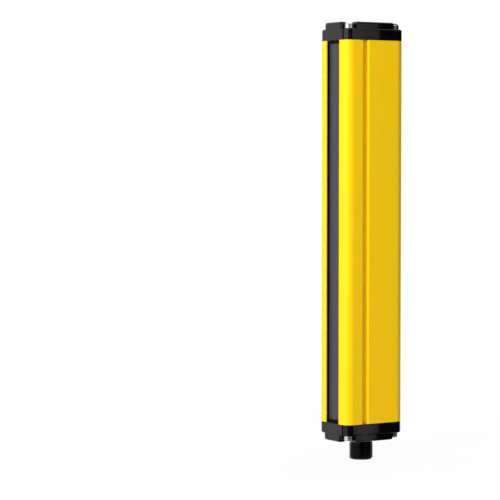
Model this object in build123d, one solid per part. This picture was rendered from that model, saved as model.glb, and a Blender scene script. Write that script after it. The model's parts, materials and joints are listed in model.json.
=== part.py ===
from build123d import *
import os
from math import cos, radians, sin

# Area sensor stick: a powder-coated aluminium profile that stands upright, a dark
# optical window along its front, a moulded cap with four screws on each end and an
# M12 plug connector under the bottom cap.
# Frame: X is the width, Y the depth with the window facing -Y, Z is up.
# The origin is the centre of the connector's lower end face. Millimetres.

# Housing profile, driving dimensions
body_w = 25.0  # across the window face
body_d = 35.0  # window face to mounting face
body_len = 190.0
corner_r = 4.4
side_wall_t = 3.3
cut_past = 1.0  # how far a cut runs on past an outer face
at_same_place = 0.01  # largest distance between two coordinates taken as one
back_web_t = 1.8  # between the inner cavity and the back slot

# Window recess along the front
front_lip_w = 6.9  # from each side face to the window opening
lip_t = 1.6
lip_overlap = 1.1  # how far the window reaches behind each lip
window_t = 1.5
window_gasket_t = 0.4
window_clear = 0.3
throat_extra_w = 0.4  # the throat behind the window is this much wider than its opening
end_block_h = 1.5
end_block_proud = 0.5  # stands forward of the lips' inner faces

# Shallow groove along each side
side_groove_w = 3.2
side_groove_depth = 1.5
side_groove_from_front = 10.0
side_groove_edge_r = 0.4

# T-slot along the back, for M5 hammer nuts
back_slot_w = 6.0
back_lip_t = 2.0
back_slot_inner_w = 10.0
back_slot_inner_d = 3.0

# End caps
cap_h = 9.0
skirt_h = 5.7  # up to the screw seats
roof_t = 1.5
front_bar_clear = 0.1  # front bar to screw head
front_bar_d = 4.0
side_bar_clear = 0.3  # side bar to screw head
side_bar_t = 4.4
side_bar_setback = 0.8
rim_edge_r = 0.9
bar_edge_r = 1.0
boss_chamfer = 0.5
front_notch_w = 0.7
front_notch_depth = 1.0  # right through the rounded rim
front_notch_inset = 3.5  # notch centre from the side face
side_notch_w = 1.2
side_notch_depth = 1.0
side_notch_inset = 2.8  # notch centre from the front or back face
spigot_h = 3.5
spigot_wall = 1.5
spigot_clear = 0.25
cap_gasket_t = 0.8
cap_gasket_inset = 1.7
cap_gasket_fit = 0.1

# Cap screws, M2.5 thread-forming, pan head
screw_inset = 3.9  # screw axis from the two outer faces
screw_d = 2.5
screw_core_d = 2.0
screw_head_d = 4.4
screw_head_h = 2.4
screw_head_chamfer = 0.6
screw_grip = 8.0  # length held in the profile
screw_clear = 0.3
screw_bore_clear = 0.1
socket_af = 1.5  # across flats
socket_depth = 1.2

# M12 plug connector
thread_d = 12.0
thread_len = 8.0
thread_chamfer = 0.8
neck_d = 10.8  # thread relief
conn_reach = 10.0  # how far it stands out of the bottom cap
conn_flange_d = 14.8
conn_flange_h = 2.0
conn_fit = 0.2
conn_boss_d = 17.0
socket_d = 8.6
socket_len = 8.5
insert_fit = 0.1
insert_tail_h = 1.0
key_w = 1.2
key_h = 0.5
key_root = 0.25  # how far the key is sunk in the socket's wall
pin_d = 1.0
pin_count = 4  # on the pitch circle, with one more pin in the middle
pin_circle_d = 5.0
pin_first_angle = 45.0
pin_tip_chamfer = 0.25
pin_recess = 1.0
pin_tail = 1.6
ring_section = 0.8  # side of its square section
ring_fit = 0.05
lock_ring_h = 2.0
lock_ring_bore = 9.6
lock_slot_w = 1.6
lock_slot_depth = 1.0

# Optics
beam_pitch = 20.0
beam_margin = 15.0  # least distance of a beam from the profile's end
lens_plate_t = 1.5
lens_edge = 0.8  # flat strip left on each side of a lens
lens_rise = 1.2
lens_gap = 0.4  # lens crown to window
part_clear = 0.3
carrier_end = 9.0  # carrier end from the profile's end
tube_edge = 0.2  # the tube's mouth is this much smaller than its lens, a side
tube_back_d = 4.4
mask_t = 0.5
mask_hole_d = 3.6
mask_edge = 1.2
foot_len = 4.0

# Boards and what sits on them
pcb_t = 1.2
pcb_slot_depth = 0.8
pcb_slot_clear = 0.1
board_end = 4.2  # board end from the profile's end
diode_w = 3.0
diode_h = 0.5
diode_dome_d = 2.2
diode_dome_chamfer = 0.5
board_gap = 1.0  # mask to sensor board
board_spacing = 5.9
tube_extra_d = 4.0  # the light tubes are deeper than the space behind the boards by this
control_board_len = 118.0
header_w = 2.5
header_len = 15.0
header_from_end = 70.0
chip_w = 7.0
chip_h = 1.0
chip_from_end = 48.0
driver_w = 4.0
driver_len = 5.0
driver_h = 1.5
driver_count = 3
driver_pitch = 9.0
driver_from_end = 84.0
capacitor_d = 5.0
capacitor_h = 5.2
capacitor_chamfer = 0.4
capacitor_count = 3
capacitor_pitch = 7.0
capacitor_from_end = 22.0
led_w = 1.6
led_h = 0.8
led_count = 3
led_pitch = 3.0
guide_h = 4.0
guide_from_end = 4.4
guide_gap = 0.3
guide_foot_t = 0.8
clip_w = 4.0
clip_t = 0.4
clip_bend_r = 0.8
clip_foot = 5.0
clip_from_end = 36.0
lead_d = 1.1
lead_bend_r = 1.1
lead_straight = 1.2  # straight out of the pin before the first bend
lead_pad_rise = 3.0  # first pad above the board's lower end
lead_pad_len = 3.2
lead_pad_pitch = 2.2
lead_solder_gap = 0.05

# Heights
profile_z0 = conn_reach + cap_h
profile_z1 = profile_z0 + body_len
screw_x = body_w / 2 - screw_inset
screw_y = body_d / 2 - screw_inset
front_bar_w = 2 * (screw_x - screw_head_d / 2 - front_bar_clear)
side_bar_len = 2 * (screw_y - screw_head_d / 2 - side_bar_clear)
screw_places = [(sx * screw_x, sy * screw_y) for sx in (-1, 1) for sy in (-1, 1)]

# Depths, from the window face inwards
front_y = -body_d / 2
back_y = body_d / 2
lip_back_y = front_y + lip_t
window_y0 = lip_back_y + window_gasket_t
window_y1 = window_y0 + window_t
slot_back_y = window_y1 + window_clear
window_open_w = body_w - 2 * front_lip_w
window_slot_w = window_open_w + 2 * lip_overlap
carrier_y0 = window_y1 + lens_gap + lens_rise + lens_plate_t
cavity_y0 = carrier_y0 - part_clear
back_slot_floor_y = back_y - back_lip_t - back_slot_inner_d
cavity_y1 = back_slot_floor_y - back_web_t
cavity_w = body_w - 2 * side_wall_t
cavity_d = cavity_y1 - cavity_y0
cavity_mid_y = (cavity_y0 + cavity_y1) / 2
throat_w = window_open_w + throat_extra_w
lens_strip_w = throat_w - 2 * part_clear
lens_d = lens_strip_w - 2 * lens_edge
tube_front_d = lens_d - 2 * tube_edge
stack_d = mask_t + board_gap + 2 * pcb_t + board_spacing
spare_d = cavity_y1 - carrier_y0 - stack_d  # shared by the tubes and the space at the back
control_board_y1 = cavity_y1 - (spare_d - tube_extra_d) / 2
control_board_y0 = control_board_y1 - pcb_t
sensor_board_y1 = control_board_y0 - board_spacing
sensor_board_y0 = sensor_board_y1 - pcb_t
carrier_y1 = sensor_board_y0 - board_gap - mask_t
carrier_d = carrier_y1 - carrier_y0
board_w = cavity_w + 2 * (pcb_slot_depth - pcb_slot_clear)
side_groove_mid_y = front_y + side_groove_from_front + side_groove_w / 2

# Beam heights, centred on the profile's length
beam_count = int((body_len - 2 * beam_margin) / beam_pitch) + 1
beam_z0 = profile_z0 + (body_len - (beam_count - 1) * beam_pitch) / 2
beam_heights = [beam_z0 + i * beam_pitch for i in range(beam_count)]


def block(x0, x1, y0, y1, z0, z1):
    """A box between two opposite corners."""
    size = Box(x1 - x0, y1 - y0, z1 - z0)
    return Pos((x0 + x1) / 2, (y0 + y1) / 2, (z0 + z1) / 2) * size


def band(width, y0, y1):
    """A flat rectangle centred on X, from y0 to y1."""
    return Pos(0, (y0 + y1) / 2) * Rectangle(width, y1 - y0)


def upright(sketch, z0, z1):
    """A prism on a sketch, from z0 to z1."""
    return Pos(0, 0, z0) * extrude(sketch, z1 - z0)


def facing_front(shape, x, y, z):
    """Turns a shape that stands on XY so that its top faces -Y, and places it."""
    return Pos(x, y, z) * Rot(90, 0, 0) * shape


def side_groove():
    """The groove in the right side, seen from the end of the profile."""
    floor_x = body_w / 2 - side_groove_depth
    groove = Pos(body_w / 2, side_groove_mid_y) * Rectangle(2 * side_groove_depth, side_groove_w)
    floor_corners = [v for v in groove.vertices() if v.X < floor_x + side_groove_edge_r]
    return fillet(floor_corners, side_groove_edge_r)


def profile_section():
    outline = RectangleRounded(body_w, body_d, corner_r)
    section = outline - band(window_open_w, front_y - cut_past, lip_back_y)
    section -= band(window_slot_w, lip_back_y, slot_back_y)
    section -= band(throat_w, slot_back_y, cavity_y0)
    section -= band(cavity_w, cavity_y0, cavity_y1)
    for y0 in (sensor_board_y0, control_board_y0):
        slot_w = cavity_w + 2 * pcb_slot_depth
        section -= band(slot_w, y0 - pcb_slot_clear, y0 + pcb_t + pcb_slot_clear)
    groove = side_groove()
    section -= groove
    section -= mirror(groove, about=Plane.YZ)
    section -= band(back_slot_w, back_y - back_lip_t, back_y + cut_past)
    section -= band(back_slot_inner_w, back_slot_floor_y, back_y - back_lip_t)
    for x, y in screw_places:
        section -= Pos(x, y) * Circle((screw_core_d + screw_bore_clear) / 2)
    return section


def make_profile():
    """The extrusion, with the mouths of its grooves rounded."""
    solid = upright(profile_section(), profile_z0, profile_z1)
    mouth_x = body_w / 2
    groove_ends = [side_groove_mid_y - side_groove_w / 2, side_groove_mid_y + side_groove_w / 2]
    lip_x = window_open_w / 2
    back_x = back_slot_w / 2

    def is_mouth(edge):
        at = edge.center()
        places = [(mouth_x, y) for y in groove_ends] + [(lip_x, front_y), (back_x, back_y)]
        return any(
            abs(abs(at.X) - x) < at_same_place and abs(at.Y - y) < at_same_place
            for x, y in places
        )

    mouths = [e for e in solid.edges().filter_by(Axis.Z) if is_mouth(e)]
    return fillet(mouths, side_groove_edge_r)


def make_window():
    width = window_slot_w - 2 * part_clear
    z0 = profile_z0 + end_block_h
    z1 = profile_z1 - end_block_h
    return block(-width / 2, width / 2, window_y0, window_y1, z0, z1)


def make_window_gasket(side):
    """A flat rubber strip between one lip and the window."""
    outer = window_slot_w / 2 - part_clear
    inner = window_open_w / 2
    x0, x1 = sorted((side * inner, side * outer))
    z0 = profile_z0 + end_block_h
    z1 = profile_z1 - end_block_h
    return block(x0, x1, lip_back_y, window_y0, z0, z1)


def make_window_end_block(z0):
    """Closes the recess past the end of the window, flush with the profile's end."""
    tongue_w = window_slot_w - 2 * part_clear
    nose_w = window_open_w - 2 * part_clear
    tongue = block(-tongue_w / 2, tongue_w / 2, lip_back_y, window_y1, z0, z0 + end_block_h)
    nose_y0 = lip_back_y - end_block_proud
    return tongue + block(-nose_w / 2, nose_w / 2, nose_y0, lip_back_y, z0, z0 + end_block_h)


def cap_notches():
    """Plans of the notches, one on both sides of each corner post."""
    notches = []
    for sx in (-1, 1):
        for sy in (-1, 1):
            notch = Rectangle(front_notch_w, 2 * front_notch_depth)
            notches.append(Pos(sx * (body_w / 2 - front_notch_inset), sy * body_d / 2) * notch)
            notch = Rectangle(2 * side_notch_depth, side_notch_w)
            notches.append(Pos(sx * body_w / 2, sy * (body_d / 2 - side_notch_inset)) * notch)
    return notches


def spigot_outline(inset):
    width = cavity_w - 2 * (spigot_clear + inset)
    depth = cavity_d - 2 * (spigot_clear + inset)
    return Pos(0, cavity_mid_y) * Rectangle(width, depth)


def cap_bars():
    """The raised bars: one along the front, one along the back and one on each side."""
    bars = []
    for sy in (-1, 1):
        y = sy * (body_d / 2 - front_bar_d / 2)
        bars.append(Pos(0, y) * Rectangle(front_bar_w, front_bar_d))
    for sx in (-1, 1):
        x = sx * (body_w / 2 - side_bar_setback - side_bar_t / 2)
        bars.append(Pos(x, 0) * Rectangle(side_bar_t, side_bar_len))
    return bars


def cap_gasket_outline(inset):
    width = body_w - 2 * (cap_gasket_inset + inset)
    depth = body_d - 2 * (cap_gasket_inset + inset)
    return RectangleRounded(width, depth, corner_r - cap_gasket_inset)


def cap_shell():
    """A cap without its inner hollow, joint face at z = 0 and outer side up."""
    shell = upright(RectangleRounded(body_w, body_d, corner_r), 0, skirt_h)
    shell = fillet(shell.edges().group_by(Axis.Z)[-1], rim_edge_r)
    for notch in cap_notches():
        shell -= upright(notch, 0, skirt_h)
    for bar in cap_bars():
        raised = upright(bar, skirt_h - roof_t, cap_h)
        raised = fillet(raised.faces().sort_by(Axis.Z)[-1].edges(), bar_edge_r)
        shell += raised
    shell -= upright(cap_gasket_outline(0) - spigot_outline(-spigot_clear), 0, cap_gasket_t)
    shell += upright(spigot_outline(0), -spigot_h, cap_gasket_t)
    for x, y in screw_places:
        shell -= Pos(x, y, skirt_h / 2) * Cylinder((screw_d + screw_clear) / 2, skirt_h)
    return shell


def make_top_cap():
    hollow = upright(spigot_outline(spigot_wall), -spigot_h, skirt_h - roof_t)
    return Pos(0, 0, profile_z1) * (cap_shell() - hollow)


def at_bottom(shape):
    """Turns an upright cap piece over, onto the lower end of the profile."""
    return Pos(0, 0, profile_z0) * mirror(shape, about=Plane.XY)


def cap_seat_z():
    """Inner floor of the bottom cap, which the connector's flange seats on."""
    return skirt_h - roof_t


def make_bottom_cap():
    boss = Pos(0, 0, (skirt_h + cap_h) / 2) * Cylinder(conn_boss_d / 2, cap_h - skirt_h)
    boss = chamfer(boss.edges().group_by(Axis.Z)[-1], boss_chamfer)
    cap = cap_shell() + boss
    seat_r = conn_flange_d / 2 + conn_fit
    cap -= Pos(0, 0, (cap_seat_z() - spigot_h) / 2) * Cylinder(seat_r, cap_seat_z() + spigot_h)
    cap -= Pos(0, 0, cap_h / 2) * Cylinder((thread_d + conn_fit) / 2, 2 * cap_h)
    return at_bottom(cap)


def cap_gasket():
    """A flat seal in the recess of the cap's joint face."""
    ring = cap_gasket_outline(cap_gasket_fit) - spigot_outline(-spigot_clear)
    for x, y in screw_places:
        ring -= Pos(x, y) * Circle((screw_d + screw_clear) / 2)
    return upright(ring, 0, cap_gasket_t)


def cap_screw():
    """A pan-head screw that points down, its head's underside at z = 0."""
    head = Pos(0, 0, screw_head_h / 2) * Cylinder(screw_head_d / 2, screw_head_h)
    head = chamfer(head.edges().group_by(Axis.Z)[-1], screw_head_chamfer)
    hexagon = RegularPolygon(socket_af / 2, 6, major_radius=False)
    drive = upright(hexagon, screw_head_h - socket_depth, screw_head_h)
    shank = Pos(0, 0, -skirt_h / 2) * Cylinder(screw_d / 2, skirt_h)
    thread = Pos(0, 0, -skirt_h - screw_grip / 2) * Cylinder(screw_core_d / 2, screw_grip)
    return head - drive + shank + thread


def cap_screws():
    screw = cap_screw()
    return [Pos(x, y, skirt_h) * screw for x, y in screw_places]


def conn_end_z():
    """Free end of the connector, measured outwards from the cap's joint face."""
    return cap_h + conn_reach


def seal_ring(fit):
    """Flat ring let into the flange, thinner than its groove by fit a side."""
    inner_r = thread_d / 2 + conn_fit
    ring = Cylinder(inner_r + ring_section - fit, ring_section)
    ring -= Cylinder(inner_r + fit, ring_section)
    return Pos(0, 0, cap_seat_z() - ring_section / 2) * ring


def make_connector_body():
    """The plug's shell: a flange inside the cap, a plain pilot in its bore and the M12 thread.

    The pilot is as thick as the thread, so the plug goes into the cap from inside.
    """
    seat = cap_seat_z()
    thread_z0 = conn_end_z() - thread_len - thread_chamfer
    flange = Pos(0, 0, seat - conn_flange_h / 2) * Cylinder(conn_flange_d / 2, conn_flange_h)
    pilot = Pos(0, 0, (seat + cap_h) / 2) * Cylinder(thread_d / 2, cap_h - seat)
    neck = Pos(0, 0, (cap_h + thread_z0) / 2) * Cylinder(neck_d / 2, thread_z0 - cap_h)
    barrel_h = conn_end_z() - thread_z0
    barrel = Pos(0, 0, thread_z0 + barrel_h / 2) * Cylinder(thread_d / 2, barrel_h)
    barrel = chamfer(barrel.edges().group_by(Axis.Z)[-1], thread_chamfer)
    body = flange + pilot + neck + barrel
    body -= Pos(0, 0, conn_end_z() / 2) * Cylinder(socket_d / 2, 2 * conn_end_z())
    body -= seal_ring(0)
    key_y0 = -socket_d / 2 - key_root
    key_y1 = -socket_d / 2 + key_h
    key_z0 = conn_end_z() - socket_len
    key_z1 = conn_end_z() - thread_chamfer
    body += block(-key_w / 2, key_w / 2, key_y0, key_y1, key_z0, key_z1)
    return at_bottom(body)


def pin_places():
    ring = [radians(pin_first_angle + 360 / pin_count * i) for i in range(pin_count)]
    places = [(pin_circle_d / 2 * cos(a), pin_circle_d / 2 * sin(a)) for a in ring]
    return places + [(0.0, 0.0)]


def insert_z0():
    """Inner end of the pin carrier, whose tail stands out past the flange's inner face."""
    return cap_seat_z() - conn_flange_h - insert_tail_h


def make_connector_insert():
    z1 = conn_end_z() - socket_len
    radius = socket_d / 2 - insert_fit
    insert = Pos(0, 0, (insert_z0() + z1) / 2) * Cylinder(radius, z1 - insert_z0())
    for x, y in pin_places():
        insert -= Pos(x, y, (insert_z0() + z1) / 2) * Cylinder(pin_d / 2, z1 - insert_z0())
    return at_bottom(insert)


def make_connector_pins():
    z0 = insert_z0() - pin_tail
    z1 = conn_end_z() - pin_recess
    pin = Pos(0, 0, (z0 + z1) / 2) * Cylinder(pin_d / 2, z1 - z0)
    pin = chamfer(pin.edges().group_by(Axis.Z)[-1], pin_tip_chamfer)
    return [at_bottom(Pos(x, y) * pin) for x, y in pin_places()]


def make_lock_ring():
    """Threaded ring that clamps the flange, with two slots for a pin spanner."""
    z1 = cap_seat_z() - conn_flange_h
    ring = Cylinder(conn_flange_d / 2, lock_ring_h) - Cylinder(lock_ring_bore / 2, lock_ring_h)
    slot = Box(conn_flange_d, lock_slot_w, lock_slot_depth)
    ring -= Pos(0, 0, (lock_slot_depth - lock_ring_h) / 2) * slot
    return at_bottom(Pos(0, 0, z1 - lock_ring_h / 2) * ring)


def make_lens_strip():
    """One clear moulding with a lens in front of each beam."""
    width = lens_strip_w
    z0 = profile_z0 + carrier_end
    z1 = profile_z1 - carrier_end
    plate_y0 = carrier_y0 - lens_plate_t
    strip = block(-width / 2, width / 2, plate_y0, carrier_y0, z0, z1)
    radius = ((lens_d / 2) ** 2 + lens_rise**2) / (2 * lens_rise)
    dome = Pos(0, 0, lens_rise - radius) * Sphere(radius)
    dome &= Pos(0, 0, lens_rise / 2) * Cylinder(lens_d / 2, lens_rise)
    for z in beam_heights:
        strip += facing_front(dome, 0, plate_y0, z)
    return strip


def make_optics_carrier():
    """Black moulding with one tapered light tube for each beam and two end feet."""
    width = cavity_w - 2 * part_clear
    z0 = profile_z0 + carrier_end
    z1 = profile_z1 - carrier_end
    carrier = block(-width / 2, width / 2, carrier_y0, carrier_y1, z0, z1)
    for foot_z0 in (z0, z1 - foot_len):
        foot_z1 = foot_z0 + foot_len
        carrier += block(-width / 2, width / 2, carrier_y1, sensor_board_y0, foot_z0, foot_z1)
    tube = Cone(tube_back_d / 2, tube_front_d / 2, carrier_d)
    for z in beam_heights:
        carrier -= facing_front(tube, 0, (carrier_y0 + carrier_y1) / 2, z)
    return carrier


def make_aperture_mask():
    width = cavity_w - 2 * (part_clear + mask_edge)
    z0 = profile_z0 + carrier_end + foot_len + part_clear
    z1 = profile_z1 - carrier_end - foot_len - part_clear
    mask = block(-width / 2, width / 2, carrier_y1, carrier_y1 + mask_t, z0, z1)
    hole = Cylinder(mask_hole_d / 2, 2 * mask_t)
    for z in beam_heights:
        mask -= facing_front(hole, 0, carrier_y1 + mask_t / 2, z)
    return mask


def make_sensor_board():
    z0 = profile_z0 + board_end
    z1 = profile_z1 - board_end
    return block(-board_w / 2, board_w / 2, sensor_board_y0, sensor_board_y1, z0, z1)


def make_beam_diodes():
    """One infra-red diode behind each lens, on the front of the sensor board."""
    base = Pos(0, 0, diode_h / 2) * Box(diode_w, diode_w, diode_h)
    dome_r = diode_dome_d / 2
    dome_h = mask_t + board_gap - diode_h
    dome = Pos(0, 0, diode_h + dome_h / 2) * Cylinder(dome_r, dome_h)
    diode = base + chamfer(dome.edges().group_by(Axis.Z)[-1], diode_dome_chamfer)
    return [facing_front(diode, 0, sensor_board_y0, z) for z in beam_heights]


def make_control_board():
    z0 = profile_z0 + board_end
    z1 = z0 + control_board_len
    return block(-board_w / 2, board_w / 2, control_board_y0, control_board_y1, z0, z1)


def on_control_board(width, length, height, z):
    """A part on the front of the control board, centred at height z above the profile's end."""
    mid = profile_z0 + z
    z0 = mid - length / 2
    return block(-width / 2, width / 2, control_board_y0 - height, control_board_y0, z0, z0 + length)


def make_board_header():
    """Pin header that joins the two boards."""
    return on_control_board(header_w, header_len, board_spacing, header_from_end)


def make_controller_chip():
    return on_control_board(chip_w, chip_w, chip_h, chip_from_end)


def make_driver_chips():
    heights = [driver_from_end + i * driver_pitch for i in range(driver_count)]
    return [on_control_board(driver_w, driver_len, driver_h, z) for z in heights]


def make_capacitors():
    can = Pos(0, 0, capacitor_h / 2) * Cylinder(capacitor_d / 2, capacitor_h)
    can = chamfer(can.edges().group_by(Axis.Z)[-1], capacitor_chamfer)
    heights = [profile_z0 + capacitor_from_end + i * capacitor_pitch for i in range(capacitor_count)]
    return [facing_front(can, 0, control_board_y0, z) for z in heights]


def guide_mid_z():
    return profile_z0 + guide_from_end + guide_h / 2


def make_indicator_leds():
    leds = []
    for i in range(led_count):
        x = (i - (led_count - 1) / 2) * led_pitch
        y0 = sensor_board_y0 - led_h
        z0 = guide_mid_z() - led_w / 2
        leds.append(block(x - led_w / 2, x + led_w / 2, y0, sensor_board_y0, z0, z0 + led_w))
    return leds


def make_light_guide():
    """Clear bar that carries the indicators' light to the window, on feet above and below them."""
    y0 = window_y1 + lens_gap
    y1 = sensor_board_y0 - led_h - guide_gap
    z0 = guide_mid_z() - guide_h / 2
    z1 = z0 + guide_h
    half_w = lens_strip_w / 2
    guide = block(-half_w, half_w, y0, y1, z0, z1)
    for foot_z0 in (z0, z1 - guide_foot_t):
        guide += block(-half_w, half_w, y1, sensor_board_y0, foot_z0, foot_z0 + guide_foot_t)
    return guide


def make_earth_clip():
    """Bent spring strip that joins the control board to the profile's inner back wall."""
    foot_y = control_board_y1 + clip_t / 2
    rise = cavity_y1 - control_board_y1 - clip_t
    path = [
        (foot_y, 0.0),
        (foot_y, clip_foot),
        (foot_y + rise, clip_foot + rise),
        (foot_y + rise, 2 * clip_foot + rise),
    ]
    line = FilletPolyline(*path, radius=clip_bend_r)
    strip = extrude(Plane.YZ * trace(line, clip_t), clip_w / 2, both=True)
    return Pos(0, 0, profile_z0 + clip_from_end) * strip


def lead_route(pin, pad_x):
    """Path of one lead, from a pin's tail to its pad on the front of the control board."""
    x, y = pin
    start_z = profile_z0 - insert_z0() + pin_tail
    pad_y = control_board_y0 - lead_d / 2 - lead_solder_gap
    pad_z = profile_z0 + board_end + lead_pad_rise
    bend_z = start_z + lead_straight
    pad_end_z = pad_z + lead_pad_len
    return [(x, y, start_z), (x, y, bend_z), (pad_x, pad_y, pad_z), (pad_x, pad_y, pad_end_z)]


def make_internal_leads():
    """One lead for each pin. The pins nearest the window take the outer pads."""
    leads = []
    pins = sorted(pin_places(), key=lambda pin: pin[0] * (pin_circle_d - pin[1]))
    for i, pin in enumerate(pins):
        pad_x = (i - (len(pins) - 1) / 2) * lead_pad_pitch
        points = lead_route(pin, pad_x)
        line = FilletPolyline(*points, radius=lead_bend_r)
        leads.append(sweep(Plane(points[0]) * Circle(lead_d / 2), path=line))
    return leads


def make_nodes():
    """Every node by name, with its solid or its list of like solids."""
    top_block_z0 = profile_z1 - end_block_h
    return {
        "housing_profile": make_profile(),
        "front_window": make_window(),
        "window_gasket_left": make_window_gasket(-1),
        "window_gasket_right": make_window_gasket(1),
        "window_end_block_top": make_window_end_block(top_block_z0),
        "window_end_block_bottom": make_window_end_block(profile_z0),
        "top_cap": make_top_cap(),
        "bottom_cap": make_bottom_cap(),
        "top_cap_gasket": Pos(0, 0, profile_z1) * cap_gasket(),
        "bottom_cap_gasket": at_bottom(cap_gasket()),
        "top_cap_screws": [Pos(0, 0, profile_z1) * screw for screw in cap_screws()],
        "bottom_cap_screws": [at_bottom(screw) for screw in cap_screws()],
        "connector_body": make_connector_body(),
        "connector_insert": make_connector_insert(),
        "connector_pins": make_connector_pins(),
        "connector_seal_ring": at_bottom(seal_ring(ring_fit)),
        "connector_lock_ring": make_lock_ring(),
        "lens_strip": make_lens_strip(),
        "optics_carrier": make_optics_carrier(),
        "aperture_mask": make_aperture_mask(),
        "sensor_board": make_sensor_board(),
        "beam_diodes": make_beam_diodes(),
        "control_board": make_control_board(),
        "board_header": make_board_header(),
        "controller_chip": make_controller_chip(),
        "driver_chips": make_driver_chips(),
        "capacitors": make_capacitors(),
        "indicator_leds": make_indicator_leds(),
        "light_guide": make_light_guide(),
        "earth_clip": make_earth_clip(),
        "internal_leads": make_internal_leads(),
    }


os.makedirs("parts", exist_ok=True)
for name, made in make_nodes().items():
    pieces = made if isinstance(made, list) else [made]
    shape = Compound([solid for piece in pieces for solid in piece.solids()])
    export_step(shape, f"parts/{name}.step")
    box = shape.bounding_box()
    print(name, round(shape.volume, 2), [round(v, 2) for v in (*box.min, *box.max)])
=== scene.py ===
# %% [markdown]
# # A safety light curtain stick, from solids to a finished picture
# The solids of this stick come from a CAD model that is already at its real size. This
# lesson dresses them: it sets the camera, gives each piece a finish made of nodes, makes
# again the few pieces whose fine detail is too small for the solids, and sets the light.
# The first step loads the solids and keeps the size of the whole.

# %% Load the solids
import json
from math import cos, pi, radians, sin

import bmesh
import bpy
from mathutils import Matrix, Vector


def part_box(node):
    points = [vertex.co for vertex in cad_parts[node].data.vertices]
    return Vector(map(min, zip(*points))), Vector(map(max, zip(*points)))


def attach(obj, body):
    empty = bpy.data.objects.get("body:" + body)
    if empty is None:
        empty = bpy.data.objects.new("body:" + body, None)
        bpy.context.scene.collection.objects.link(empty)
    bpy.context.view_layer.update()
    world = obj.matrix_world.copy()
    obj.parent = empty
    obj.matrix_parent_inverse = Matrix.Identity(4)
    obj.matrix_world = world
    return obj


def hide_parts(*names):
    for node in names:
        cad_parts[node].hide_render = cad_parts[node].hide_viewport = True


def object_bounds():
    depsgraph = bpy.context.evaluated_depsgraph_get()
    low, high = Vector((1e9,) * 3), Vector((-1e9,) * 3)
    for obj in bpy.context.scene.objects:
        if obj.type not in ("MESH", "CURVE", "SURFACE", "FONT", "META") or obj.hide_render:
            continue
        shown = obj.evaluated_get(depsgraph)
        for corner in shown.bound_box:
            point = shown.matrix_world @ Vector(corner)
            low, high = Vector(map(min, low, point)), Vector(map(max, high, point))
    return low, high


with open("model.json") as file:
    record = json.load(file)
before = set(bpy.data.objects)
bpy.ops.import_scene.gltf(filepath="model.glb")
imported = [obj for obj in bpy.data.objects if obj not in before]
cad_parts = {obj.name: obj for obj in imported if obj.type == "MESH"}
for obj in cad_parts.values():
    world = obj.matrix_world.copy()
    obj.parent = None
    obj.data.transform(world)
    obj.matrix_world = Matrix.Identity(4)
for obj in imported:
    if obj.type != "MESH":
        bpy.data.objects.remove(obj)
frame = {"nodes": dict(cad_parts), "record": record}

solid_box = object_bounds()
nodes = frame["nodes"]
print("solids", len(nodes), "size mm", [round(1000 * v, 1) for v in solid_box[1] - solid_box[0]])

# %% [markdown]
# ## The camera
# A camera can be set by eye, or worked out from the picture. Here the two vanishing
# directions of the stick's edges and its outline gave it, because a stick shows a wrong
# angle at once. It stands about 1.1 m away, to the right of the window and a little above
# the middle, with a long lens, so the edges hardly converge.

# %% Camera
camera_at = Vector((0.88507, -0.6095, 0.15569))
camera_turn = 58.42  # degrees from looking straight at the window
camera_dip = 2.71  # degrees below the horizon
camera_data = bpy.data.cameras.new("camera")
camera_data.sensor_width = 36.0
camera_data.lens = 154.51
camera = bpy.data.objects.new("camera", camera_data)
camera.location = camera_at
camera.rotation_euler = (radians(90 - camera_dip), 0, radians(camera_turn))
bpy.context.scene.collection.objects.link(camera)
bpy.context.scene.camera = camera
bpy.context.scene.view_settings.view_transform = "Standard"
print("camera", round(camera_at.length, 3), "m from the connector's end")

# %% [markdown]
# ## Writing shader maths as sums
# Shader nodes can be placed one by one and linked by hand, but a tree is easier to read as
# an expression. This class wraps one output socket, and its operators add Math nodes.

# %% Wires
class Wire:
    """An output socket that can be added, subtracted and multiplied."""

    def __init__(self, graph, socket):
        self.graph, self.socket = graph, socket

    def math(self, operation, first, second):
        return self.graph.node("ShaderNodeMath", {"operation": operation}, {0: first, 1: second})

    def __add__(self, other):
        return self.math("ADD", self, other)

    def __sub__(self, other):
        return self.math("SUBTRACT", self, other)

    def __rsub__(self, other):
        return self.math("SUBTRACT", other, self)

    def __mul__(self, other):
        return self.math("MULTIPLY", self, other)

    __radd__ = __add__
    __rmul__ = __mul__


print("operators", [name for name in vars(Wire) if name in ("__add__", "__sub__", "__mul__")])

# %% [markdown]
# Every other node comes from one method, which takes the node's type, its settings and what
# goes into its sockets. It works on any node tree, so materials and the world share it.

# %% Graph
class Graph:
    """A node tree that hands out wires."""

    def __init__(self, tree):
        self.tree = tree

    def node(self, kind, settings, inputs, output=0):
        made = self.tree.nodes.new(kind)
        for key, value in settings.items():
            setattr(made, key, value)
        for key, value in inputs.items():
            self.plug(made.inputs[key], value)
        return Wire(self, made.outputs[output])

    def plug(self, socket, value):
        if isinstance(value, Wire):
            self.tree.links.new(value.socket, socket)
        else:
            socket.default_value = value

    def rays(self, kind):
        """1 where light is followed for this kind of ray, and 0 elsewhere."""
        return self.node("ShaderNodeLightPath", {}, {}, f"Is {kind} Ray")


seen_by = ("Camera", "Glossy", "Transmission")  # the rays that see floor and sky directly
print("rays that see the background", seen_by)

# %% [markdown]
# A finish is a graph with a shader. What is the same all over is set on the shader's own
# socket, where the export keeps it, and what varies is fed from nodes. The patterns read
# Object coordinates: they are in metres and stay on the piece from every side.

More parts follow.
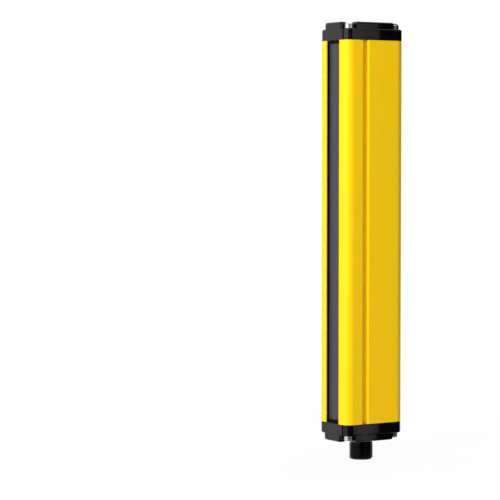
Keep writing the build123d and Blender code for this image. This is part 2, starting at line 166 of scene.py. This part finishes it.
# %% Finish
class Finish(Graph):
    """A material on a Principled shader."""

    def __init__(self, name, **same_all_over):
        self.material = bpy.data.materials.new(name)
        self.material.use_nodes = True
        super().__init__(self.material.node_tree)
        self.shader = self.tree.nodes["Principled BSDF"]
        for socket, value in same_all_over.items():
            self.shader.inputs[socket.replace("_", " ")].default_value = value

    def feed(self, socket, value):
        self.plug(self.shader.inputs[socket], value)

    def place(self):
        return self.node("ShaderNodeTexCoord", {}, {}, "Object")

    def noise(self, scale):
        return self.node("ShaderNodeTexNoise", {}, {"Vector": self.place(), "Scale": scale})

    def mix(self, factor, first, second):
        settings = {"data_type": "RGBA"}
        return self.node("ShaderNodeMix", settings, {0: factor, 6: first, 7: second}, 2)

    def bump(self, height, strength, distance):
        inputs = {"Height": height, "Strength": strength, "Distance": distance}
        self.feed("Normal", self.node("ShaderNodeBump", {}, inputs))


def srgb(red, green, blue):
    """A colour as a screen shows it, 0 to 255, made linear for a shader."""
    def linear(v):
        v /= 255
        return v / 12.92 if v <= 0.04045 else ((v + 0.055) / 1.055) ** 2.4
    return (linear(red), linear(green), linear(blue), 1.0)


print("a screen's middle grey is", round(srgb(128, 128, 128)[0], 3), "in a shader")

# %% [markdown]
# ## The finishes
# Powder coat is a thick, slightly wavy film: a satin gloss over an orange-peel bump about a
# millimetre across. Moulded caps have a much finer grain, and rubber is nearly without
# gloss. The window is dark plastic that lets only infra-red through. In the photo it is an
# even grey with hardly a mirror image, so it has a colour of its own and weak reflections.
# Each could be its own material by hand. One function makes them all, because they differ
# only in colour, gloss and the size of their grain.

# %% Painted, moulded and polished surfaces
clear = {"Transmission_Weight": 1.0, "IOR": 1.49}
metal = {"Metallic": 1.0}
blotches = 12  # the two tones vary this many times more slowly than the grain
grain_strength = 0.5


def gloss(level):
    return {"Specular_IOR_Level": level}


def surface(name, tone, other_tone, rough, rough_spread, grain, depth, same_all_over):
    """A finish with two mixed tones, uneven gloss and a grain so many times per metre."""
    finish = Finish(name, **same_all_over)
    mixed = finish.mix(finish.noise(grain / blotches), srgb(*tone), srgb(*other_tone))
    finish.feed("Base Color", mixed)
    fine = finish.noise(grain)
    finish.feed("Roughness", rough + rough_spread * (fine - 0.5))
    finish.bump(fine, grain_strength, depth)
    return finish.material


# name, two tones, roughness and its spread, grain per metre, grain depth, same all over
looks = [
    ("yellow_powder_coat", (252, 205, 2), (248, 199, 2), 0.42, 0.1, 1100, 2e-5, gloss(0.2)),
    ("window_tint", (60, 61, 63), (63, 64, 66), 0.12, 0.03, 300, 2e-6, gloss(0.12)),
    ("seal_rubber", (5, 5, 5), (9, 9, 9), 0.72, 0.12, 3500, 2e-5, gloss(0.1)),
    ("cap_black", (5, 5, 5), (8, 8, 8), 0.12, 0.04, 3800, 4e-6, gloss(0.36)),
    ("screw_steel", (226, 227, 229), (210, 212, 215), 0.34, 0.08, 2600, 4e-6, metal),
    ("connector_black", (5, 5, 5), (8, 8, 8), 0.2, 0.06, 3000, 6e-6, gloss(0.3)),
    ("insert_black", (18, 18, 18), (26, 26, 26), 0.55, 0.1, 3000, 1e-5, {}),
    ("contact_gold", (232, 190, 104), (218, 174, 88), 0.2, 0.08, 3000, 4e-6, metal),
    ("clear_optic", (240, 244, 247), (232, 238, 243), 0.05, 0.02, 400, 2e-6, clear),
    ("carrier_black", (14, 14, 14), (22, 22, 22), 0.78, 0.1, 3600, 2e-5, {}),
    ("mask_black", (18, 18, 20), (26, 26, 28), 0.45, 0.1, 3000, 6e-6, {"Metallic": 0.6}),
    ("diode_tint", (30, 18, 40), (38, 24, 50), 0.12, 0.04, 1500, 3e-6, {}),
    ("chip_black", (22, 22, 22), (32, 32, 32), 0.6, 0.12, 4200, 1e-5, {}),
    ("can_aluminium", (200, 202, 206), (184, 187, 192), 0.3, 0.1, 2200, 5e-6, metal),
    ("led_body", (226, 226, 216), (214, 214, 202), 0.35, 0.08, 2400, 5e-6, {}),
    ("spring_brass", (222, 184, 110), (204, 166, 92), 0.28, 0.1, 2400, 5e-6, metal),
    ("lead_jacket", (96, 50, 26), (108, 58, 32), 0.45, 0.1, 2400, 8e-6, {}),
]
finishes = {look[0]: surface(*look) for look in looks}
print("finishes", len(finishes))

# %% [markdown]
# ## The circuit boards
# A board is green solder mask over copper tracks, which show as paler, slightly raised
# lines. The tracks could be modelled, but nobody sees the boards without opening the stick,
# so a pattern is enough: two sets of stripes, switched by a coarse chequer, look routed.

# %% Solder mask
stripes_per_m, chequers_per_m = 260.0, 130.0
track_edge = {"From Min": 0.72, "From Max": 0.78}  # the crest of a stripe is copper


def make_board():
    finish = Finish("board_green")
    place = finish.place()
    pattern = {"Vector": place, "Scale": stripes_per_m}
    stripes = [
        finish.node("ShaderNodeTexWave", {"bands_direction": way}, pattern, 1)
        for way in ("X", "Z")
    ]
    chequer = {"Vector": place, "Scale": chequers_per_m}
    switch = finish.node("ShaderNodeTexChecker", {}, chequer, 1)
    pick = stripes[0] * switch + stripes[1] * (1 - switch)
    track = finish.node("ShaderNodeMapRange", {}, {"Value": pick, **track_edge})
    finish.feed("Base Color", finish.mix(track, srgb(14, 74, 40), srgb(34, 112, 62)))
    finish.feed("Roughness", 0.32 + 0.1 * finish.noise(2600))
    finish.bump(track, 0.6, 3e-5)
    return finish.material


finishes["board_green"] = make_board()
print("solder mask nodes", len(finishes["board_green"].node_tree.nodes))

# %% [markdown]
# ## Dressing the solids
# Each solid could be given its material by name. The packed record already says which slot
# each piece has, so one loop dresses them all. Only the material is changed. The meshes
# stay as the CAD model made them.

# %% Dress
slot_of = {sub["node"]: sub["material_slot"] for sub in frame["record"]["subparts"]}
for name, solid in nodes.items():
    for material_slot in solid.material_slots:
        material_slot.material = finishes[slot_of[name]]
print("dressed", len(nodes), "without a finish:", sorted(set(slot_of.values()) - set(finishes)))

# %% [markdown]
# ## A helper for new pieces
# A new piece starts as a bmesh. This helper merges doubles, turns the faces outwards, makes
# the object at the origin and hangs it on the stick's one body. It also counts the edges
# that don't have exactly two faces: a closed piece has none.

# %% New pieces
mm = 0.001
weld = 0.002 * mm


def finish_piece(name, bm, slot, replaced):
    """Makes an object of a bmesh, in the place of a solid."""
    bmesh.ops.remove_doubles(bm, verts=bm.verts, dist=weld)
    bmesh.ops.recalc_face_normals(bm, faces=bm.faces)
    open_edges = sum(1 for edge in bm.edges if len(edge.link_faces) != 2)
    mesh = bpy.data.meshes.new(name)
    bm.to_mesh(mesh)
    bm.free()
    mesh.materials.append(finishes[slot])
    piece = bpy.data.objects.new(name, mesh)
    bpy.context.scene.collection.objects.link(piece)
    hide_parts(replaced)
    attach(piece, "root")
    print(name, "faces", len(mesh.polygons), "open edges", open_edges)


print("doubles merge within", weld, "m")

# %% [markdown]
# ## The plug's threaded shell
# The solid carries a plain cylinder where the real plug has an M12 thread at 1 mm pitch.
# The thread is the clearest detail of the lower end, so the shell is made again. Its body
# is round, with a groove for the sealing ring, so one outline turned round the axis makes
# all of it. Stacked cylinders would leave seams. The heights come from the solids' boxes.

# %% Plug body
thread_r, root_r = 6.0 * mm, 5.39 * mm
socket_r, flange_r, flange_h = 4.3 * mm, 7.4 * mm, 2.0 * mm
ring_in_r, ring_out_r, ring_h = 6.2 * mm, 7.0 * mm, 0.8 * mm
end_bevel = 0.25 * mm
cap_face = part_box("bottom_cap")[0].z
flange_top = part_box("connector_body")[1].z
seat = flange_top - flange_h


def turned(bm, outline, steps, closed=True):
    """Turns an outline of (radius, height) points round Z."""
    corners = [bm.verts.new((radius, 0, height)) for radius, height in outline]
    first = 0 if closed else 1
    edges = [bm.edges.new((corners[i - 1], corners[i])) for i in range(first, len(corners))]
    bmesh.ops.spin(
        bm, geom=corners + edges, cent=(0, 0, 0), axis=(0, 0, 1),
        angle=2 * pi, steps=steps, use_merge=True,
    )


shell = bmesh.new()
turned(shell, [
    (socket_r, 0.0), (root_r - end_bevel, 0.0), (root_r, end_bevel), (root_r, cap_face),
    (thread_r, cap_face), (thread_r, seat), (ring_in_r, seat), (ring_in_r, seat + ring_h),
    (ring_out_r, seat + ring_h), (ring_out_r, seat), (flange_r, seat),
    (flange_r, flange_top), (socket_r, flange_top),
], 96)
print("plug body faces", len(shell.faces))

# %% [markdown]
# The rib of the thread is a small profile swept up a helix. Blender's Screw modifier would
# also do, but the spin operator climbs as it turns when it is given a dvec, and its points
# can then be pulled in at both ends, where a real thread thins out.

# %% Thread
pitch = 1.0 * mm
thread_foot, thread_top, thin_out = 0.05 * mm, 8.8 * mm, 0.8 * mm
thread_steps = 64  # for each turn


def thread_rib(bm, z0, z1):
    """A helical rib from z0 to z1 on the root of the thread."""
    half, tip = 0.44 * pitch, 0.1 * pitch
    sunk = 0.15 * mm
    flank = [(root_r - sunk, -half), (root_r, -half), (thread_r, -tip)]
    flank += [(r, -h) for r, h in reversed(flank)]
    start = z0 + half
    turns = (z1 - z0 - 2 * half) / pitch
    profile = bm.faces.new([bm.verts.new((-r, 0, start + h)) for r, h in flank])
    steps = int(turns * thread_steps)
    before = set(bm.verts) - set(profile.verts)
    bmesh.ops.spin(
        bm, geom=[profile], cent=(0, 0, 0), axis=(0, 0, 1), dvec=(0, 0, turns * pitch / steps),
        angle=2 * pi * turns, steps=steps,
    )
    for vert in set(bm.verts) - before:
        radius = vert.co.xy.length
        room = max(0.0, min(vert.co.z - z0, z1 - vert.co.z))
        most = root_r + (thread_r - root_r) * min(1.0, room / thin_out)
        if radius > most:
            vert.co.xy *= most / radius


thread_rib(shell, thread_foot, thread_top)
print("with the thread", len(shell.faces))

# %% [markdown]
# The coding key is a small bar inside the socket, which lets the cable's plug in one way
# round only. A scaled cube, sunk into the socket's wall, is all that it needs.

# %% Coding key
key_w, key_t, key_h = 1.2 * mm, 0.75 * mm, 7.6 * mm
key_inwards, key_mid = 0.125 * mm, 4.7 * mm
key = bmesh.ops.create_cube(shell, size=1.0)["verts"]
bmesh.ops.scale(shell, verts=key, vec=(key_w, key_t, key_h))
bmesh.ops.translate(shell, verts=key, vec=(0, -socket_r + key_inwards, key_mid))
finish_piece("plug_shell", shell, "connector_black", "connector_body")

# %% [markdown]
# ## The cap screws
# Pan-head screws hold the caps, and their bright heads stand out in the dark corners. The
# solid heads are plain. A turned outline gives the rounded head and the shank, and the
# round hole in the head is then pulled onto a hexagon, which saves cutting it out.

# %% One screw
head_r, head_h, crown_r = 2.2 * mm, 2.4 * mm, 0.55 * mm
drive_r, drive_depth = 0.866 * mm, 1.2 * mm  # to the corners of a hexagon 1.5 mm across
shank_r, core_r = 1.25 * mm, 1.0 * mm
seat_depth = 5.7 * mm  # from under the head to the cap's joint
screw_grip, screw_point = 8.0 * mm, 0.4 * mm
crown_steps, screw_steps = 6, 24


def screw_mesh(bm):
    """One upright screw, the underside of its head at z = 0."""
    rounding = [
        (head_r - crown_r + crown_r * cos(a), head_h - crown_r + crown_r * sin(a))
        for a in (radians(90 / crown_steps * i) for i in range(crown_steps + 1))
    ]
    end = -seat_depth - screw_grip
    outline = [(drive_r, head_h - drive_depth), (drive_r, head_h)] + rounding[::-1]
    outline += [(head_r, 0.0), (shank_r, 0.0), (shank_r, -seat_depth), (core_r, -seat_depth)]
    outline += [(core_r, end + screw_point), (screw_point, end)]
    turned(bm, outline, screw_steps, closed=False)
    bmesh.ops.holes_fill(bm, edges=[e for e in bm.edges if e.is_boundary], sides=0)
    for vert in bm.verts:
        if vert.co.z > 0 and abs(vert.co.xy.length - drive_r) < 0.01 * mm:
            turn = vert.co.xy.angle_signed(Vector((1, 0))) % (pi / 3)
            vert.co.xy *= cos(pi / 6) / cos(turn - pi / 6)


print("drive across flats mm", round(2 * drive_r * cos(pi / 6) / mm, 2))

# %% [markdown]
# The same screw stands at each of the four corners. Two array modifiers, one across and one
# along, would repeat it as well. Two short loops do that in the mesh itself, and nothing
# has to be applied afterwards. The lower cap's screws are turned over.

# %% Screws in the corners
spigot_h = 3.5 * mm  # the cap's solid reaches this far past its joint, into the profile


def four_screws(name, cap_name, face_up):
    """The screws of one cap, in the place of their solids."""
    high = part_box(name)[1]
    cap_low, cap_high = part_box(cap_name)
    joint = cap_low.z + spigot_h if face_up else cap_high.z - spigot_h
    z = joint + seat_depth if face_up else joint - seat_depth
    screws = bmesh.new()
    for sx in (-1, 1):
        for sy in (-1, 1):
            one = bmesh.new()
            screw_mesh(one)
            if not face_up:
                over = Matrix.Rotation(pi, 3, "X")
                bmesh.ops.rotate(one, verts=one.verts, cent=(0, 0, 0), matrix=over)
            corner = (sx * (high.x - head_r), sy * (high.y - head_r), z)
            bmesh.ops.translate(one, verts=one.verts, vec=corner)
            mesh = bpy.data.meshes.new("one_screw")
            one.to_mesh(mesh)
            one.free()
            screws.from_mesh(mesh)
            bpy.data.meshes.remove(mesh)
    finish_piece(name.replace("cap_screws", "pan_screws"), screws, "screw_steel", name)


four_screws("top_cap_screws", "top_cap", True)
four_screws("bottom_cap_screws", "bottom_cap", False)

# %% [markdown]
# ## The window's seals and their painted shade
# A rubber strip lies between each lip of the profile and the window. Beside the window
# the wall of the recess lies in shade, which shows as a black line. The solid is only the
# flat strip. Here the strip gets an edge that turns up and lines the wall of the recess
# in black, as wide as that line: this edge is painted shade. The L-shaped section is drawn
# once, as two faces, and extruded along the window. The outer face is then extruded on at
# both ends, so that the painted shade runs in front of the end blocks up to the caps. A
# swept curve would do as well, but a straight strip needs no path.

# %% Window seals and their painted shade
# The upturned edge is painted shade: black rubber lining the recess wall where shade falls beside
# the window.
shade_lining_w, shade_lining_rise, shade_lining_bevel = 0.25 * mm, 1.4 * mm, 0.1 * mm
hair = 0.01 * mm  # keeps faces that would touch apart
profile_low, profile_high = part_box("housing_profile")
profile_mid = (profile_low.z + profile_high.z) / 2
block_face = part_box("window_end_block_top")[0].y


def push(bm, faces, way):
    """Extrudes faces by a vector."""
    grown = bmesh.ops.extrude_face_region(bm, geom=faces)["geom"]
    moved = [item for item in grown if isinstance(item, bmesh.types.BMVert)]
    bmesh.ops.translate(bm, verts=moved, vec=way)


def window_seal_with_painted_shade(name, side):
    """The strip under one lip of the profile, with an upturned edge up the recess wall, which is
    painted shade.
    """
    low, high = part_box(name)
    outer, wall = (high.x, low.x) if side > 0 else (low.x, high.x)
    wall -= side * hair
    inner = wall - side * shade_lining_w
    crest, split, face_y = high.y - shade_lining_rise, block_face - hair, high.y - hair
    places = {
        "a": (outer, low.y), "b": (outer, face_y), "c": (inner, face_y), "d": (inner, split),
        "e": (wall, split), "f": (wall, low.y), "g": (inner, crest), "h": (wall, crest),
    }
    seal = bmesh.new()
    corner = {key: seal.verts.new((x, y, low.z)) for key, (x, y) in places.items()}
    # abcdef is the flat strip; dghe is the upturned edge, painted shade on the recess wall.
    for keys in ("abcdef", "dghe"):
        seal.faces.new([corner[key] for key in keys])
    bmesh.ops.bevel(
        seal, geom=[corner["g"], corner["h"]], offset=shade_lining_bevel, affect="VERTICES",
        segments=3, profile=0.5, material=-1,
    )
    push(seal, list(seal.faces), (0, 0, high.z - low.z))
    bmesh.ops.recalc_face_normals(seal, faces=seal.faces)
    ends = [face for face in seal.faces if abs(face.normal.z) > 0.9]
    # These ends are pushed on to the caps, so the painted shade runs in front of the end blocks.
    for face in [face for face in ends if face.calc_center_median().y < split]:
        top = face.calc_center_median().z > profile_mid
        reach = profile_high.z - high.z if top else profile_low.z - low.z
        push(seal, [face], (0, 0, reach))
        bmesh.ops.delete(seal, geom=[face], context="FACES_ONLY")  # it would stay inside
    # The piece is the real seal together with its painted shade, all in black rubber.
    finish_piece(name.replace("gasket", "seal"), seal, "seal_rubber", name)


window_seal_with_painted_shade("window_gasket_left", -1)
window_seal_with_painted_shade("window_gasket_right", 1)

# %% [markdown]
# ## The floor
# The picture is a product shot on white. More light would whiten the floor, but it would
# bleach the stick too. So the camera sees plain white mixed into the floor's real, shaded
# surface, and near the stick less of it, which keeps a faint shadow. Reflections see more
# of the shaded surface, and that darkens the lower cap as it is in the photo.

# %% Floor
floor_half = 6.0
white_near_stick = {"Camera": 0.93, "Glossy": 0.2, "Transmission": 0.93}
shadow_reach = {"From Min": 0.03, "From Max": 0.22}  # m from the stick's foot
floor_mesh = bpy.data.meshes.new("floor")
floor_bm = bmesh.new()
bmesh.ops.create_grid(floor_bm, x_segments=1, y_segments=1, size=floor_half)
floor_bm.to_mesh(floor_mesh)
floor_bm.free()
floor = bpy.data.objects.new("floor", floor_mesh)
bpy.context.scene.collection.objects.link(floor)
pale = Finish("pale_floor", Roughness=0.9)
pale.feed("Base Color", srgb(240, 240, 240))
away = pale.node("ShaderNodeVectorMath", {"operation": "LENGTH"}, {0: pale.place()}, 1)
share = sum(
    pale.rays(kind) * pale.node(
        "ShaderNodeMapRange", {},
        {"Value": away, **shadow_reach, "To Min": white_near_stick[kind]},
    )
    for kind in seen_by
)
white = pale.node("ShaderNodeEmission", {}, {"Color": (1, 1, 1, 1), "Strength": 1.0})
surface_wire = Wire(pale, pale.shader.outputs[0])
blend = pale.node("ShaderNodeMixShader", {}, {0: share, 1: surface_wire, 2: white})
pale.plug(pale.tree.nodes["Material Output"].inputs["Surface"], blend)
floor_mesh.materials.append(pale.material)
print("floor", 2 * floor_half, "m wide")

# %% [markdown]
# ## The world
# A world is the light from everywhere. An image of a studio could give it, but a plain one
# needs only two levels. The camera and the reflections see white, and everything else is
# lit by a third of that, so the sides that the main lamp misses stay clearly darker.

# %% World
world_light, world_seen = 0.32, 1.0
world = bpy.data.worlds.new("studio")
world.use_nodes = True
bpy.context.scene.world = world
sky = Graph(world.node_tree)
seen = sum(sky.rays(kind) for kind in seen_by)
levels = {"Value": seen, "To Min": world_light, "To Max": world_seen}
background = sky.tree.nodes["Background"]
background.inputs["Color"].default_value = (1, 1, 1, 1)
sky.plug(background.inputs["Strength"], sky.node("ShaderNodeMapRange", {}, levels))
print("world lights the stick at", world_light, "and is seen at", world_seen)

# %% [markdown]
# ## The lamps
# The groove in the stick's side shows where the main lamp stands: its floor is dark and its
# far wall bright, and only light from about 20 degrees right of the window does both. A sun
# lamp would do, but its shadows are hard. A square area lamp gives the soft edges of the
# photo. A second lamp behind keeps the back readable in other views. Reflections don't see
# the lamps, because the panels of the next step take their place.

# %% Lamps
middle = (solid_box[0] + solid_box[1]) / 2


def soft_lamp(name, turn, rise, distance, size, power):
    """A square lamp at an angle from the window's own direction, aimed at the stick."""
    data = bpy.data.lights.new(name, "AREA")
    data.shape, data.size, data.energy = "SQUARE", size, power
    lamp = bpy.data.objects.new(name, data)
    a, e = radians(turn), radians(rise)
    outwards = Vector((sin(a) * cos(e), -cos(a) * cos(e), sin(e)))
    lamp.location = middle + distance * outwards
    lamp.rotation_euler = (-outwards).to_track_quat("-Z", "Y").to_euler()
    lamp.visible_glossy = False
    bpy.context.scene.collection.objects.link(lamp)
    print(name, power, "W at", turn, "degrees")


soft_lamp("main_lamp", turn=21, rise=14, distance=1.4, size=0.35, power=20.0)
soft_lamp("back_lamp", turn=215, rise=20, distance=1.6, size=1.0, power=16.0)

# %% [markdown]
# ## Panels for the black plastic
# Black moulded plastic shows hardly any colour of its own, only what it reflects. In a
# studio, bright and dark panels stand round it where the reflections should be light or
# black. They could be real lamps, but then they would light the yellow sides too. These are
# seen by reflections alone, so they neither light the stick nor shade it.

# %% Panel sheets
def panel_finish(name, level):
    """A surface that only glows, or with level 0 only is black."""
    finish = Finish(name, Roughness=1.0, Specular_IOR_Level=0.0, Emission_Strength=level)
    finish.feed("Base Color", srgb(0, 0, 0))
    finish.feed("Emission Color", srgb(255, 255, 255))
    return finish.material


def panel(name, material, corners):
    """A flat sheet on a ring of corners, seen by reflections only."""
    mesh = bpy.data.meshes.new(name)
    sheet = bmesh.new()
    sheet.faces.new([sheet.verts.new(corner) for corner in corners])
    sheet.to_mesh(mesh)
    sheet.free()
    mesh.materials.append(material)
    made = bpy.data.objects.new(name, mesh)
    bpy.context.scene.collection.objects.link(made)
    for kind in ("camera", "diffuse", "transmission", "shadow"):
        setattr(made, "visible_" + kind, False)


bright = panel_finish("panel_bright", 2.0)
dark = panel_finish("panel_dark", 0.0)
print("panel finishes", bright.name, dark.name)

# %% [markdown]
# A panel stands between two directions, in degrees from the window's own direction. Its
# mirror stripe on a round post falls halfway between that direction and the camera's. The
# caps' front posts are light and then black, so a bright panel is followed by a dark one.
# The flat sides mirror one narrow direction. There light turns to black along a line near
# the side's middle, so the panel behind the stick starts on a ray from that line.

# %% Standing panels
panel_low, panel_high = -0.2, 1.2
panel_step = 30  # degrees that one flat panel covers at most, or nearly so
near_ring, far_ring = 1.3, 1.1  # m
axis_point = (0.0, 0.0)
side_mid = (0.0125, 0.0014)  # where the side's mirror image turns from light to black


def at(turn, distance, height, start):
    """The point so far from start in a direction, at a height."""
    a = radians(turn)
    return (start[0] + distance * sin(a), start[1] - distance * cos(a), height)


def standing(name, material, first, last, distance, start):
    """Upright panels side by side, from one direction to another."""
    count = max(1, round((last - first) / panel_step))
    turns = [first + (last - first) * i / count for i in range(count + 1)]
    for i, (a, b) in enumerate(zip(turns, turns[1:])):
        feet = [at(a, distance, panel_low, start), at(b, distance, panel_low, start)]
        heads = [at(b, distance, panel_high, start), at(a, distance, panel_high, start)]
        panel(f"{name}_{i + 1}", material, feet + heads)
    print(name, count, "from", first, "to", last, "degrees")


standing("bright_panel", bright, -14, 43, near_ring, axis_point)
standing("near_dark_panel", dark, 43, 88, near_ring, axis_point)
standing("far_dark_panel", dark, 125, 235, far_ring, side_mid)

# %% [markdown]
# Glossy parts near the floor mirror the floor. A dark card close behind the side and two
# dark sheets just above the floor keep the lower cap and the plug black. Each is drawn as a
# ring of directions and distances, which is easier to aim than metres across and along.

# %% Close card and lying sheets
card_low, card_high = 0.0005, 0.25
lying = 0.0004  # just above the floor
card = [(125, 0.03), (170, 0.05)]
foot = [at(turn, distance, card_low, side_mid) for turn, distance in card]
head = [at(turn, distance, card_high, side_mid) for turn, distance in reversed(card)]
panel("close_dark_card", dark, foot + head)
sheets = {
    "near_dark_sheet": (axis_point, [(43, 0.009), (43, 2.0), (80, 2.5), (119, 2.0), (100, 0.024)]),
    "far_dark_sheet": (side_mid, [(125, 0.0), (125, 2.0), (150, 2.3), (180, 2.0), (180, 0.02)]),
}
for name, (start, ring) in sheets.items():
    panel(name, dark, [at(turn, distance, lying, start) for turn, distance in ring])
print("lying sheets", len(sheets), "card up to", card_high, "m")

# %% [markdown]
